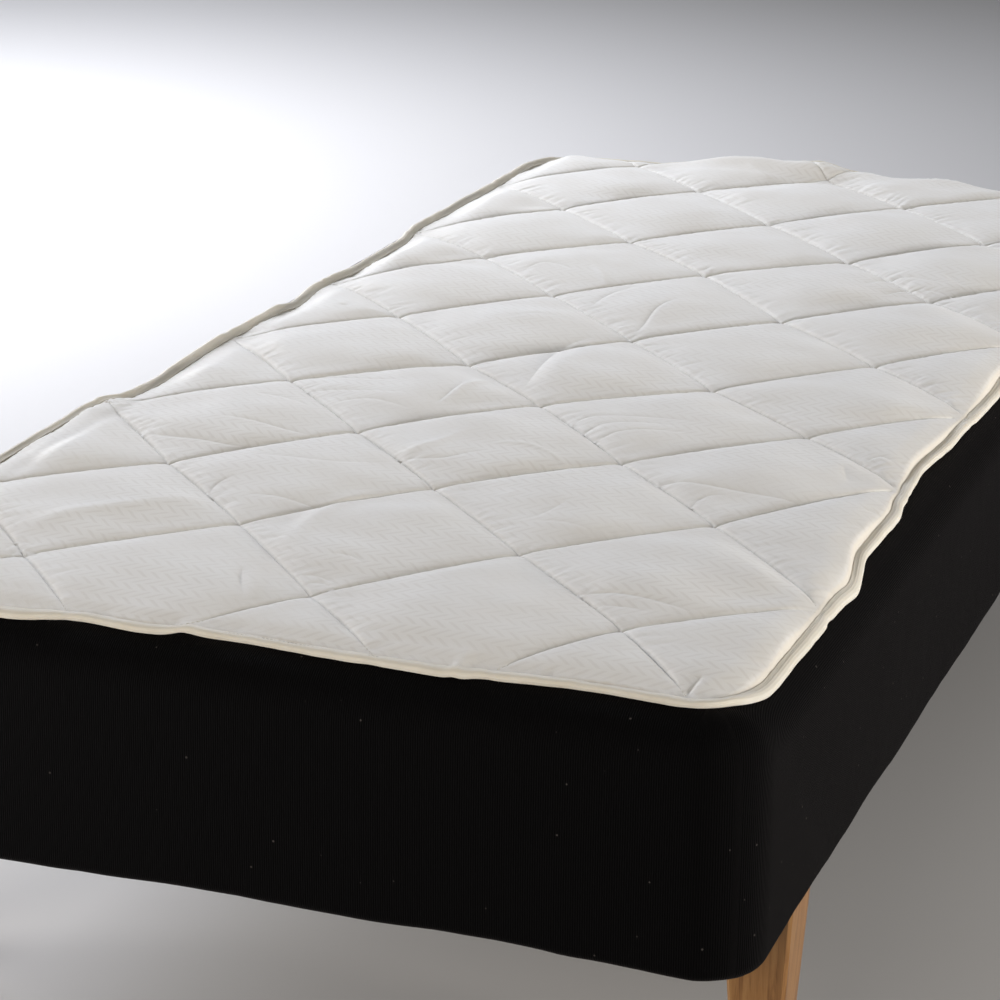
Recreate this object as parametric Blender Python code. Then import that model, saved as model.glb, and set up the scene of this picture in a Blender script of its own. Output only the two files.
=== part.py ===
"""A quilted mattress topper lying on the single bed that it fits.

Metres, +Z up. X runs across the bed and Y along it, from the foot end at -Y to the
head end at +Y. The origin is on the floor, below the middle of the bed.

The topper is one filled pad: its top is drawn down by two crossing families of
sewn channels, which leave diamond pillows, and a folded tape binds its thin edge.
The bed is a covered box with rounded edges, on four tapered legs.
"""
import math

import bpy
import bmesh
from mathutils import Vector
from mathutils.geometry import delaunay_2d_cdt

MM = 0.001

# The bed.
LEG_HEIGHT = 200 * MM
LEG_TOP_WIDTH = 64 * MM
LEG_FOOT_WIDTH = 40 * MM
LEG_CHAMFER = 3 * MM
LEG_SIDE_INSET = 6 * MM
LEG_END_INSET = 160 * MM
BED_WIDTH = 935 * MM
BED_LENGTH = 2080 * MM
BED_DEPTH = 222 * MM
BED_CORNER_RADIUS = 55 * MM
BED_TOP_RADIUS = 45 * MM
BED_FOOT_RADIUS = 10 * MM
BED_TOP = LEG_HEIGHT + BED_DEPTH
PIECE_GAP = 0.3 * MM

# The topper's outline, seen from above.
HALF_WIDTH = 445 * MM
HALF_LENGTH = 1000 * MM
CORNER_ACROSS = 57 * MM
CORNER_ALONG = 98 * MM
STATION_STEP = 30 * MM
CORNER_STEPS = 7

# How far the long edges stand from the bed's middle line, in metres: the quilting
# draws them in unevenly.
# along, left edge, right edge
SIDE_EDGES = (
    (-1.00, 0.434, 0.4515),
    (-0.72, 0.437, 0.4515),
    (-0.56, 0.437, 0.4430),
    (-0.45, 0.435, 0.4435),
    (-0.30, 0.424, 0.4335),
    (-0.18, 0.423, 0.4405),
    (0.01, 0.420, 0.4455),
    (0.12, 0.425, 0.4430),
    (0.25, 0.418, 0.4400),
    (0.40, 0.421, 0.4465),
    (0.49, 0.430, 0.4450),
    (0.61, 0.425, 0.4405),
    (0.80, 0.423, 0.4470),
    (1.00, 0.428, 0.4450),
)

# How far the short edges stand from the bed's middle, in metres.
# across, foot edge, head edge
END_EDGES = (
    (-0.44, 1.012, 0.994),
    (-0.23, 1.013, 0.991),
    (-0.155, 1.005, 0.998),
    (-0.10, 1.010, 1.003),
    (-0.02, 1.003, 1.004),
    (0.10, 1.007, 0.998),
    (0.195, 1.010, 1.002),
    (0.30, 1.003, 0.996),
    (0.40, 1.006, 1.000),
    (0.46, 1.004, 0.997),
)

# How far the head edge buckles up off the bed, in metres.
# across, lift
HEAD_HUMPS = (
    (-0.46, 0.000),
    (-0.26, 0.004),
    (-0.13, 0.016),
    (-0.08, 0.017),
    (-0.02, 0.023),
    (0.04, 0.013),
    (0.10, 0.006),
    (0.16, 0.008),
    (0.23, 0.002),
    (0.46, 0.000),
)
HUMP_START = 925 * MM
HUMP_RUN = 60 * MM

# The quilting.
DIAMOND_WIDTH = 286 * MM
DIAMOND_LENGTH = 306 * MM
FIRST_CROSSING_X = -423 * MM
FIRST_CROSSING_Y = -720 * MM
FOOT_ROW_STRETCH = 1.25
GRID_STEPS = 5
CROWN = 15 * MM
CROWN_POWER = 0.45
CROWN_UNEVENNESS = 0.14
CHANNEL_HEIGHT = 8.5 * MM
EDGE_ROLL = 40 * MM
SEAM_END = 5 * MM
MIN_GRID_MARGIN = 17 * MM

# The pad's thin edge and the tape folded round it.
TAPE_WIDTH = 12 * MM
TAPE_HEIGHT = 9.5 * MM
TAPE_THICKNESS = 1.5 * MM
TAPE_ROUNDING = 2 * MM
FLANGE_INSET = TAPE_THICKNESS + 2 * PIECE_GAP
FLANGE_TOP = TAPE_HEIGHT - TAPE_THICKNESS - PIECE_GAP
FLANGE_BOTTOM = TAPE_THICKNESS + PIECE_GAP
FLAT_CLEARANCE = 0.5 * MM
EDGE_CLEARANCE = 2.2 * MM
CLEARANCE_RUN = 30 * MM
UNDERSIDE_INSET = 45 * MM
UNDERSIDE_STEP_INSET = 22 * MM


def smooth(t):
    """Ease from 0 to 1 as t goes from 0 to 1."""
    t = min(max(t, 0.0), 1.0)
    return t * t * (3 - 2 * t)


def read_table(table, at, column):
    """Read one column of a table at a place, easing from row to row."""
    for row, following in zip(table, table[1:]):
        if at <= following[0]:
            share = smooth((at - row[0]) / (following[0] - row[0]))
            return row[column] + (following[column] - row[column]) * share
    return table[-1][column]


def material(name, colour, roughness):
    """A plain finish."""
    finish = bpy.data.materials.new(name)
    finish.use_nodes = True
    shader = finish.node_tree.nodes["Principled BSDF"]
    shader.inputs["Base Color"].default_value = (*colour, 1)
    shader.inputs["Roughness"].default_value = roughness
    return finish


def add_object(name, mesh_build, finish, smooth_angle):
    """Turn a bmesh into a named object with closed, outward faces."""
    bmesh.ops.recalc_face_normals(mesh_build, faces=mesh_build.faces[:])
    mesh = bpy.data.meshes.new(name)
    mesh_build.to_mesh(mesh)
    mesh_build.free()
    mesh.materials.append(finish)
    mesh.shade_smooth()
    mesh.set_sharp_from_angle(angle=math.radians(smooth_angle))
    piece = bpy.data.objects.new(name, mesh)
    bpy.context.scene.collection.objects.link(piece)
    return piece


def bridge(mesh_build, ring_a, ring_b, halved=False):
    """Join two rings of the same number of points with quads, or with their halves."""
    for i, corner in enumerate(ring_a):
        j = (i + 1) % len(ring_a)
        if halved:
            mesh_build.faces.new((corner, ring_a[j], ring_b[j]))
            mesh_build.faces.new((corner, ring_b[j], ring_b[i]))
        else:
            mesh_build.faces.new((corner, ring_a[j], ring_b[j], ring_b[i]))


# ---------------------------------------------------------------- the bed

def bed_inset(x, y):
    """Distance in from the bed's outline, seen from above."""
    side = BED_WIDTH / 2 - BED_CORNER_RADIUS - abs(x)
    end = BED_LENGTH / 2 - BED_CORNER_RADIUS - abs(y)
    beyond = math.hypot(min(side, 0), min(end, 0))
    return BED_CORNER_RADIUS - beyond + max(min(side, end), 0)


def bed_surface(x, y):
    """Height of the bed's rounded top."""
    into_edge = BED_TOP_RADIUS - bed_inset(x, y)
    if into_edge <= 0:
        return BED_TOP
    into_edge = min(into_edge, BED_TOP_RADIUS)
    return BED_TOP - BED_TOP_RADIUS + math.sqrt(BED_TOP_RADIUS ** 2 - into_edge ** 2)


def bed_ring(inset, corner_steps=5):
    """The bed's outline, drawn in by an inset."""
    radius = BED_CORNER_RADIUS - inset
    points = []
    for quarter, (sx, sy) in enumerate(((1, -1), (1, 1), (-1, 1), (-1, -1))):
        centre_x = sx * (BED_WIDTH / 2 - BED_CORNER_RADIUS)
        centre_y = sy * (BED_LENGTH / 2 - BED_CORNER_RADIUS)
        for step in range(corner_steps + 1):
            angle = math.radians(-90 + 90 * (quarter + step / corner_steps))
            points.append((centre_x + radius * math.cos(angle),
                           centre_y + radius * math.sin(angle)))
    return points


def make_bed_base(finish, edge_steps=6):
    """A box with upright faces, a well rounded top edge and a small bottom one."""
    levels = []
    for step in range(3):
        angle = math.radians(45 * step)
        levels.append((BED_FOOT_RADIUS * (1 - math.sin(angle)),
                       LEG_HEIGHT + BED_FOOT_RADIUS * (1 - math.cos(angle))))
    for step in range(edge_steps + 1):
        angle = math.radians(90 * step / edge_steps)
        levels.append((BED_TOP_RADIUS * (1 - math.cos(angle)),
                       BED_TOP - BED_TOP_RADIUS * (1 - math.sin(angle))))
    build = bmesh.new()
    rings = []
    for inset, height in levels:
        rings.append([build.verts.new((x, y, height)) for x, y in bed_ring(inset)])
    for lower, upper in zip(rings, rings[1:]):
        bridge(build, lower, upper)
    build.faces.new(rings[0])
    build.faces.new(rings[-1])
    add_object("bed_base", build, finish, 50)


def make_leg(name, sx, sy, finish):
    """A square leg with chamfered corners, tapered evenly towards the floor."""
    centre_x = sx * (BED_WIDTH / 2 - LEG_SIDE_INSET - LEG_TOP_WIDTH / 2)
    centre_y = sy * (BED_LENGTH / 2 - LEG_END_INSET - LEG_TOP_WIDTH / 2)
    build = bmesh.new()
    rings = []
    for height, width in ((0.0, LEG_FOOT_WIDTH), (LEG_HEIGHT - PIECE_GAP, LEG_TOP_WIDTH)):
        half = width / 2
        cut = half - LEG_CHAMFER
        outline = ((half, -cut), (half, cut), (cut, half), (-cut, half),
                   (-half, cut), (-half, -cut), (-cut, -half), (cut, -half))
        rings.append([build.verts.new((centre_x + x, centre_y + y, height)) for x, y in outline])
    bridge(build, *rings)
    build.faces.new(rings[0])
    build.faces.new(rings[1])
    add_object(name, build, finish, 30)


# ---------------------------------------------------------------- the topper's outline

def uneven_point(point):
    """Move a point of the plain rounded oblong onto the uneven edge."""
    half_width = read_table(SIDE_EDGES, point.y, 2 if point.x > 0 else 1)
    half_length = read_table(END_EDGES, point.x, 2 if point.y > 0 else 1)
    return Vector((point.x * half_width / HALF_WIDTH, point.y * half_length / HALF_LENGTH))


def topper_outline():
    """Points round the topper's edge, anticlockwise, closer together at the corners."""
    points = []
    for quarter, (sx, sy) in enumerate(((1, -1), (1, 1), (-1, 1), (-1, -1))):
        centre = Vector((sx * (HALF_WIDTH - CORNER_ACROSS), sy * (HALF_LENGTH - CORNER_ALONG)))
        for step in range(CORNER_STEPS + 1):
            angle = math.radians(-90 + 90 * (quarter + step / CORNER_STEPS))
            points.append(centre + Vector((CORNER_ACROSS * math.cos(angle),
                                           CORNER_ALONG * math.sin(angle))))
        if quarter % 2 == 0:
            run = 2 * (HALF_LENGTH - CORNER_ALONG)
        else:
            run = 2 * (HALF_WIDTH - CORNER_ACROSS)
        ahead = Vector((-math.sin(angle), math.cos(angle)))
        steps = round(run / STATION_STEP)
        corner_end = points[-1]
        for step in range(1, steps):
            points.append(corner_end + ahead * run * step / steps)
    return [uneven_point(point) for point in points]


def outline_normals(points):
    """Unit vectors that point out of the outline at each of its points."""
    normals = []
    for i in range(len(points)):
        ahead = points[(i + 1) % len(points)] - points[i - 1]
        normals.append(Vector((ahead.y, -ahead.x)).normalized())
    return normals


def depth_inside(x, y, points):
    """Distance in from the outline."""
    place = Vector((x, y))
    nearest = 1.0
    for i, start in enumerate(points):
        edge = points[(i + 1) % len(points)] - start
        share = min(max((place - start).dot(edge) / edge.length_squared, 0), 1)
        nearest = min(nearest, (place - start - edge * share).length)
    return nearest


# ---------------------------------------------------------------- the topper's heights

def cloth_base(x, y):
    """Lowest height that the topper keeps over the bed: clear of its rounded edges."""
    into_edge = BED_TOP_RADIUS + CLEARANCE_RUN - bed_inset(x, y)
    clearance = FLAT_CLEARANCE + (EDGE_CLEARANCE - FLAT_CLEARANCE) * smooth(into_edge / CLEARANCE_RUN)
    return bed_surface(x, y) + clearance


def head_lift(x, y):
    """How far the topper is buckled up here."""
    return read_table(HEAD_HUMPS, x, 1) * smooth((y - HUMP_START) / HUMP_RUN)


def lattice(x, y):
    """Count of channels crossed, in the two slanting families."""
    across = (x - FIRST_CROSSING_X) / (DIAMOND_WIDTH / 2)
    towards_foot = (FIRST_CROSSING_Y - y) / (DIAMOND_LENGTH / 2)
    if towards_foot > 1:
        towards_foot = 1 + (towards_foot - 1) / FOOT_ROW_STRETCH
    return (across + towards_foot) / 2, (across - towards_foot) / 2


def lattice_place(across, towards_foot):
    """Where a count of half diamonds lies, seen from above."""
    if towards_foot > 1:
        towards_foot = 1 + (towards_foot - 1) * FOOT_ROW_STRETCH
    return (FIRST_CROSSING_X + across * DIAMOND_WIDTH / 2,
            FIRST_CROSSING_Y - towards_foot * DIAMOND_LENGTH / 2)


def pillow_height(x, y, depth):
    """Height of the quilted top over the bed, with its channels and its drawn-in edge."""
    rising, falling = lattice(x, y)
    swell = abs(math.sin(math.pi * rising) * math.sin(math.pi * falling)) ** CROWN_POWER
    roll = min(max((depth - TAPE_WIDTH) / EDGE_ROLL, 0), 1)
    rounded = math.sqrt(1 - (1 - roll) ** 2)
    uneven = 1 + CROWN_UNEVENNESS * math.sin(9 * x + 2) * math.cos(5 * y + 1)
    lift = (CHANNEL_HEIGHT - FLANGE_TOP) * smooth(roll)
    return FLANGE_TOP + lift + CROWN * swell * rounded * uneven


def grid_places(points):
    """Lattice points inside the edge, and the channels that join them."""
    reach_across = 7 * GRID_STEPS
    reach_along = 12 * GRID_STEPS
    places = []
    index = {}
    for i in range(-2 * GRID_STEPS, reach_across):
        for j in range(-reach_along, 3 * GRID_STEPS):
            x, y = lattice_place(i / GRID_STEPS, j / GRID_STEPS)
            if abs(x) > 0.45 or abs(y) > 1.0:
                continue
            depth = depth_inside(x, y, points)
            if depth > TAPE_WIDTH + MIN_GRID_MARGIN:
                index[i, j] = len(places)
                places.append((Vector((x, y)), depth))
    channels = []
    for (i, j), start in index.items():
        if (i + j) % (2 * GRID_STEPS) == 0 and (i + 1, j - 1) in index:
            channels.append((start, index[i + 1, j - 1]))
        if (i - j) % (2 * GRID_STEPS) == 0 and (i + 1, j + 1) in index:
            channels.append((start, index[i + 1, j + 1]))
    return places, channels, index


def channel_ends(points, places, channels, index):
    """Carry each channel on from its last lattice point to just inside the tape."""
    for (i, j), start in list(index.items()):
        for step_i, step_j in ((1, 1), (1, -1), (-1, 1), (-1, -1)):
            on_channel = (i + j) if step_i != step_j else (i - j)
            if on_channel % (2 * GRID_STEPS) or (i + step_i, j + step_j) in index:
                continue
            near = 0.0
            far = 3.0
            for _ in range(20):
                share = (near + far) / 2
                x, y = lattice_place((i + step_i * share) / GRID_STEPS,
                                     (j + step_j * share) / GRID_STEPS)
                outside = abs(x) > 0.46 or abs(y) > 1.01
                if outside or depth_inside(x, y, points) < TAPE_WIDTH + SEAM_END:
                    far = share
                else:
                    near = share
            channels.append((start, len(places)))
            places.append((Vector((x, y)), TAPE_WIDTH + SEAM_END))


def section_ring(build, points, normals, inset, height, lifted=True):
    """One line of the edge's section, carried all the way round."""
    ring = []
    for point, normal in zip(points, normals):
        place = point - normal * inset
        level = cloth_base(*place) + height
        if lifted:
            level += head_lift(*place)
        ring.append(build.verts.new((*place, level)))
    return ring


def make_pad(points, normals, finish):
    """The filled pad: quilted top, thin edge inside the tape, and flat underside."""
    build = bmesh.new()
    tip_top = section_ring(build, points, normals, FLANGE_INSET, FLANGE_TOP)
    rim = section_ring(build, points, normals, TAPE_WIDTH, FLANGE_TOP)
    tip_bottom = section_ring(build, points, normals, FLANGE_INSET, FLANGE_BOTTOM)
    under_rim = section_ring(build, points, normals, TAPE_WIDTH, FLANGE_BOTTOM)
    under_step = section_ring(build, points, normals, UNDERSIDE_STEP_INSET, 0)
    under_flat = section_ring(build, points, normals, UNDERSIDE_INSET, 0, lifted=False)
    rings = (rim, tip_top, tip_bottom, under_rim, under_step, under_flat)
    for ring_a, ring_b in zip(rings, rings[1:]):
        bridge(build, ring_a, ring_b, halved=True)
    build.faces.new(under_flat)

    places, channels, index = grid_places(points)
    channel_ends(points, places, channels, index)
    rim_places = [corner.co.xy for corner in rim]
    count = len(rim)
    flat = rim_places + [place for place, _ in places]
    borders = [(i, (i + 1) % count) for i in range(count)]
    borders += [(start + count, end + count) for start, end in channels]
    flat, _, triangles, origins, _, _ = delaunay_2d_cdt(flat, borders, [], 1, 1e-6)

    corners = []
    for place, origin in zip(flat, origins):
        if origin and origin[0] < count:
            corners.append(rim[origin[0]])
            continue
        depth = places[origin[0] - count][1] if origin else depth_inside(*place, points)
        height = cloth_base(*place) + head_lift(*place) + pillow_height(*place, depth)
        corners.append(build.verts.new((*place, height)))
    for triangle in triangles:
        build.faces.new([corners[i] for i in triangle])
    add_object("topper_pad", build, finish, 60)


def make_binding(points, normals, finish):
    """The tape: a band folded round the pad's edge, with its hollow facing in."""
    hollow_top = TAPE_HEIGHT - TAPE_THICKNESS
    section = (
        (TAPE_WIDTH, 0),
        (TAPE_ROUNDING, 0),
        (0, TAPE_ROUNDING),
        (0, TAPE_HEIGHT - TAPE_ROUNDING),
        (TAPE_ROUNDING, TAPE_HEIGHT),
        (TAPE_WIDTH, TAPE_HEIGHT),
        (TAPE_WIDTH, hollow_top),
        (TAPE_THICKNESS, hollow_top),
        (TAPE_THICKNESS, TAPE_THICKNESS),
        (TAPE_WIDTH, TAPE_THICKNESS),
    )
    build = bmesh.new()
    rings = [section_ring(build, points, normals, inset, height) for inset, height in section]
    for ring_a, ring_b in zip(rings, rings[1:] + rings[:1]):
        bridge(build, ring_a, ring_b, halved=True)
    add_object("edge_binding", build, finish, 40)


def main():
    """Clear the scene and build the bed and its topper."""
    for old in list(bpy.data.objects):
        bpy.data.objects.remove(old, do_unlink=True)
    quilted_cover = material("quilted_cover", (0.60, 0.60, 0.59), 0.85)
    binding_tape = material("binding_tape", (0.62, 0.58, 0.50), 0.80)
    knit_cover = material("knit_cover", (0.012, 0.011, 0.012), 0.90)
    birch_wood = material("birch_wood", (0.42, 0.24, 0.11), 0.55)

    points = topper_outline()
    normals = outline_normals(points)
    make_pad(points, normals, quilted_cover)
    make_binding(points, normals, binding_tape)
    make_bed_base(knit_cover)
    for end, sy in (("foot", -1), ("head", 1)):
        for side, sx in (("left", -1), ("right", 1)):
            make_leg(f"leg_{end}_{side}", sx, sy, birch_wood)


main()
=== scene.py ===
"""Looks of a quilted mattress topper lying on the covered single bed that it fits.

Metres, +Z up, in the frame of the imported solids: X across the bed, Y from its foot
to its head. The topper's outline, channels and crown follow the solids', fitted more
closely to the real cloth.
"""

import math
from functools import partial

import bmesh
import bpy
import numpy as np
from mathutils import Matrix, Vector
from mathutils.geometry import delaunay_2d_cdt


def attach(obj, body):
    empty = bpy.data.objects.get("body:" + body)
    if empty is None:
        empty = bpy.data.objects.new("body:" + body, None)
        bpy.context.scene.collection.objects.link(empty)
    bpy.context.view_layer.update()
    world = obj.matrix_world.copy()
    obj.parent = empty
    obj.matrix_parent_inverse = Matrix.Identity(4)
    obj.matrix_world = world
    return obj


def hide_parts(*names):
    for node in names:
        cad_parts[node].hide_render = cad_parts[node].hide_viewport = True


MM = 0.001

# ---------------------------------------------------------------- sizes and places

LEG_HEIGHT = 200 * MM
BED_WIDTH = 935 * MM
BED_LENGTH = 2080 * MM
BED_DEPTH = 222 * MM
BED_CORNER_RADIUS = 55 * MM
BED_TOP_RADIUS = 45 * MM
BED_TOP = LEG_HEIGHT + BED_DEPTH

HALF_WIDTH = 445 * MM
HALF_LENGTH = 1000 * MM
CORNER_ACROSS = 57 * MM
CORNER_ALONG = 98 * MM

# How far the long edges stand from the middle line, in metres.
# along, left edge, right edge
SIDE_EDGES = (
    (-1.00, 0.434, 0.4492), (-0.74, 0.441, 0.4506), (-0.69, 0.441, 0.4508),
    (-0.65, 0.442, 0.4535), (-0.56, 0.443, 0.4420), (-0.45, 0.443, 0.4435),
    (-0.40, 0.441, 0.4385), (-0.345, 0.427, 0.4350), (-0.30, 0.425, 0.4335),
    (-0.18, 0.428, 0.4405), (0.01, 0.425, 0.4455), (0.06, 0.421, 0.4443), (0.14, 0.427, 0.4430),
    (0.26, 0.421, 0.4400), (0.40, 0.422, 0.4465), (0.48, 0.431, 0.4450), (0.61, 0.428, 0.4405),
    (0.80, 0.427, 0.4470), (1.00, 0.428, 0.4450),
)

# How far the short edges stand from the middle, in metres.
# across, foot edge, head edge
END_EDGES = (
    (-0.44, 1.012, 0.994), (-0.23, 1.013, 0.991), (-0.155, 1.003, 0.998),
    (-0.10, 1.0075, 1.003), (-0.02, 1.000, 1.004), (0.10, 1.0065, 0.998),
    (0.195, 1.0095, 1.002), (0.215, 1.0050, 1.000), (0.30, 1.000, 0.996), (0.40, 1.0055, 1.000),
    (0.46, 1.013, 0.997),
)

# How far the head edge buckles up off the bed, in metres.
# across, lift
HEAD_HUMPS = (
    (-0.46, 0.000), (-0.26, 0.004), (-0.13, 0.016), (-0.08, 0.017), (-0.02, 0.023),
    (0.04, 0.013), (0.10, 0.006), (0.16, 0.008), (0.23, 0.002), (0.46, 0.000),
)
HUMP_START = 925 * MM
HUMP_RUN = 60 * MM

# How far the left edge curls up off the bed, in metres.
# along, lift
LEFT_CURLS = (
    (-1.00, 0.0020), (-0.75, 0.0040), (-0.62, 0.0055), (-0.52, 0.0065), (-0.45, 0.0080),
    (-0.41, 0.0080), (-0.37, 0.0010), (-0.31, 0.0005), (-0.22, 0.0030), (-0.13, 0.0060),
    (-0.08, 0.0045), (0.02, 0.0050), (0.06, 0.0000), (0.17, 0.0035), (0.28, 0.0000),
    (0.41, 0.0000), (0.48, 0.0030), (0.85, 0.0025), (1.00, 0.0000),
)
CURL_START = 390 * MM
CURL_RUN = 38 * MM

# Where the foot edge kinks up, in metres.
# across, lift, half width
FOOT_KINKS = (
    (-0.055, 0.0030, 0.014),
    (0.195, 0.0016, 0.006),
)
KINK_START = 965 * MM
KINK_RUN = 30 * MM

# The quilting's diamonds lie between two slanting families of channels, which are counted
# from the first crossing. CHANNELS is how many of each are laid both ways from there.
DIAMOND_WIDTH = 286 * MM
DIAMOND_LENGTH = 306 * MM
CELL_SIDE = 208 * MM
CHANNELS = 11
PULL_GRID = 24
FIRST_CROSSING_X = -423 * MM
FIRST_CROSSING_Y = -720 * MM
FOOT_ROW_STRETCH = 1.25
CHANNEL_HEIGHT = 8.5 * MM
CHANNEL_RUN = 28 * MM
CROSSING_DIMPLE = 1.6 * MM
CROSSING_REACH = 11 * MM
STITCH_GROOVE = 1.7 * MM
STITCH_REACH = 1.4 * MM

# The pillows between the channels, each filled a little differently.
CROWN = 15 * MM
CROWN_POWER = 0.62
CROWN_UNEVENNESS = 0.14
FLANK_WIDTH = 5 * MM
FLANK_UNEVENNESS = 0.07
PLUMP = (0.9, 1.1)
PLUMP_CELLS = 64

# Slow waves over the topper: pace and phase across, pace and phase along.
CROWN_WAVE = (9, 2, 5, 1 + math.pi / 2)
FLANK_WAVE = (11, -1, 7, 2)

# Shares that change along the bed: at the foot, further up, then where the change starts
# and over what length, in metres.
CROWN_SHARES = (0.69, 1.0, -0.9, 0.7)
FLANK_SHARES = (0.10, 0.23, -0.85, 0.6)
GATHER_SHARES = (1.25, 2.1, -0.4, 1.0)

# The pad runs out flat at its left and foot edges, and rolls over at the other two.
FLAT_LEFT_START = 360 * MM
FLAT_LEFT_RUN = 40 * MM
FLAT_FOOT_START = 920 * MM
FLAT_FOOT_RUN = 50 * MM
FLAT_TAPE_SPREAD = 0.30
FLAT_EDGE_ROLL = 55 * MM
FLAT_ROLL_POWER = 0.8
EDGE_ROLL = 6 * MM
EDGE_GROOVE = 1.2 * MM
BESIDE_TAPE_RISE = 0.9 * MM
BESIDE_TAPE_RUN = 1.6 * MM
THIN_EDGE = 0.52
FLAT_THIN_EDGE = 0.5
THIN_EDGE_RUN = 75 * MM

TAPE_WIDTH = 9.5 * MM
TAPE_HEIGHT = 6.4 * MM
TAPE_INNER_HEIGHT = 4.8 * MM
TAPE_THICKNESS = 1.0 * MM
FLANGE_INSET = 1.8 * MM
FLANGE_TOP = 3.7 * MM
FLANGE_BOTTOM = 1.5 * MM
FLAT_CLEARANCE = 0.4 * MM
EDGE_CLEARANCE = 0.6 * MM
CLEARANCE_RUN = 30 * MM
UNDERSIDE_INSET = 45 * MM
UNDERSIDE_STEP_INSET = 22 * MM

# ---------------------------------------------------------------- the cloth's own detail

# Where sewing has pulled a crossing off its even place: how many half diamonds across
# and towards the foot it lies, then the pull across and along, in millimetres.
PULLED_CROSSINGS = (
    (0, -10, 7, -45), (0, -8, 6, -46), (0, -6, 16, -32), (0, -4, 7, -8), (1, -11, 11, -15),
    (1, -9, 3, -11), (1, -5, 9, -10), (1, -1, 6, -10), (1, 1, 7, -9), (2, -10, -4, 13),
    (2, -8, 2, -5), (2, -4, 16, -22), (2, 0, 9, -6), (3, -11, 3, -14), (3, -9, -2, 6),
    (3, -7, -1, 13), (3, -5, 8, -8), (3, -3, 0, 7), (3, -1, -2, 7), (3, 1, 7, -12),
    (4, -10, -4, 13), (4, -8, 4, -7), (4, -6, 4, -17), (4, -4, 12, -23), (4, 0, -1, 7),
    (5, -7, 1, -12), (5, -5, 9, -15), (5, -3, 9, 1), (5, 1, 6, 3), (6, -2, -9, 30),
    (6, 0, 8, -25), (4, 2, 34, 0), (2, 2, 30, 0), (6, 2, 16, 0),
)

# Creases in the filled cloth, as lift and half width, then places along the crease,
# all in millimetres. A negative lift is a trough.
CREASES = (
    (-1.8, 5, (-335, -506), (-305, -509), (-271, -510), (-241, -513), (-221, -509)),
    (-1.6, 5, (-277, -448), (-238, -445), (-203, -448), (-174, -451)),
    (-1.3, 5, (-282, -348), (-247, -348), (-206, -366)),
    (-1.3, 9, (-194, -545), (-156, -544), (-114, -542), (-64, -519)),
    (-1.4, 5, (-153, -659), (-123, -655), (-96, -659), (-66, -666)),
    (2.2, 13, (-302, -836), (-289, -800), (-264, -767), (-222, -725), (-187, -686)),
    (-1.8, 6, (-68, -851), (-55, -884), (-36, -920)),
    (1.4, 6, (-63, -847), (-42, -885), (-24, -920)),
    (2.2, 12, (-56, -789), (-62, -735), (-63, -685), (-55, -629), (-38, -608)),
    (-1.1, 4, (-10, -843), (3, -842), (22, -851)),
    (-1.0, 4, (0, -860), (13, -856), (23, -865)),
    (-1.2, 4, (-7, -793), (12, -792), (32, -805)),
    (-1.3, 5, (-197, -334), (-161, -322), (-109, -338)),
    (1.6, 8, (-62, -489), (-49, -464), (-36, -441), (-22, -390)),
    (-1.3, 5, (-57, -494), (-18, -488), (13, -456)),
    (1.5, 7, (-85, -304), (-80, -234), (-72, -197)),
    (-1.4, 5, (-91, -312), (-88, -276), (-87, -234)),
    (-1.9, 4.5, (228, -810), (255, -801), (283, -802), (312, -807), (344, -816)),
    (-1.1, 4, (264, -826), (286, -825), (310, -830)),
    (-1.9, 5, (200, -479), (227, -469), (269, -474), (312, -479), (364, -485)),
    (-1.2, 5, (254, -539), (262, -501), (279, -491)),
    (1.2, 4, (15, -433), (43, -419), (73, -429), (102, -452), (123, -485)),
    (0.7, 6, (80, -580), (92, -555)),
    (-0.8, 5, (125, -635), (140, -605), (150, -570)),
    (-0.8, 5, (130, -636), (160, -633), (192, -641)),
    (-1.2, 4, (63, -336), (71, -299), (105, -281), (146, -275), (191, -280)),
    (-1.2, 4, (101, -372), (118, -340), (149, -319), (190, -311)),
    (-1.1, 4, (80, -355), (95, -319), (132, -298), (174, -295)),
    (-1.8, 7, (362, -353), (379, -401)),
    (-1.3, 4, (379, -329), (390, -313), (408, -324)),
    (-2.6, 4, (391, -998), (392, -984), (394, -970), (396, -955)),
    (1.5, 5, (421, -712), (431, -707), (439, -696)),
    (-2.8, 14, (-28, -209), (-34, -128), (-45, -31), (-25, 21)),
    (1.8, 16, (-8, -206), (-10, -128), (-12, 15)),
    (-1.3, 5, (-250, -302), (-196, -294), (-126, -295)),
    (-1.2, 5, (-277, -255), (-229, -241), (-157, -247)),
    (-1.6, 6, (-332, 32), (-346, 37)),
    (-1.8, 6, (13, 43), (11, 93), (9, 154), (23, 210)),
    (-1.5, 6, (-73, 150), (-67, 213), (-49, 269)),
    (1.4, 5, (-149, 356), (-114, 310), (-82, 245)),
    (1.6, 7, (-109, 950), (-83, 927), (-58, 903)),
    (-1.6, 5, (203, 354), (236, 423), (303, 400)),
    (-1.5, 5, (235, 328), (265, 380), (312, 366)),
    (-1.8, 5, (288, 439), (322, 401)),
    (-1.2, 4, (-294, -885), (-291, -856), (-273, -861)),
    (-1.1, 4, (-280, -907), (-282, -871), (-257, -885)),
    (-1.2, 5, (-184, -683), (-194, -638), (-186, -609)),
    (-1.3, 5, (-142, 26), (-107, 69), (-55, 58)),
    (-1.3, 5, (-210, 286), (-190, 322), (-145, 306)),
)

# How the sewing gathers each side of a diamond: from corner to corner, in counts of
# channels, then the spacing, length and depth of its puckers, in millimetres.
PUCKERED_SIDES = (
    ((0, 0), (1, 0), 10, 38, 0.58),
    ((0, 0), (0, 1), 14, 22, 0.32),
    ((1, 0), (1, 1), 13, 20, 0.36),
    ((0, 1), (1, 1), 14, 22, 0.32),
)

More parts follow.
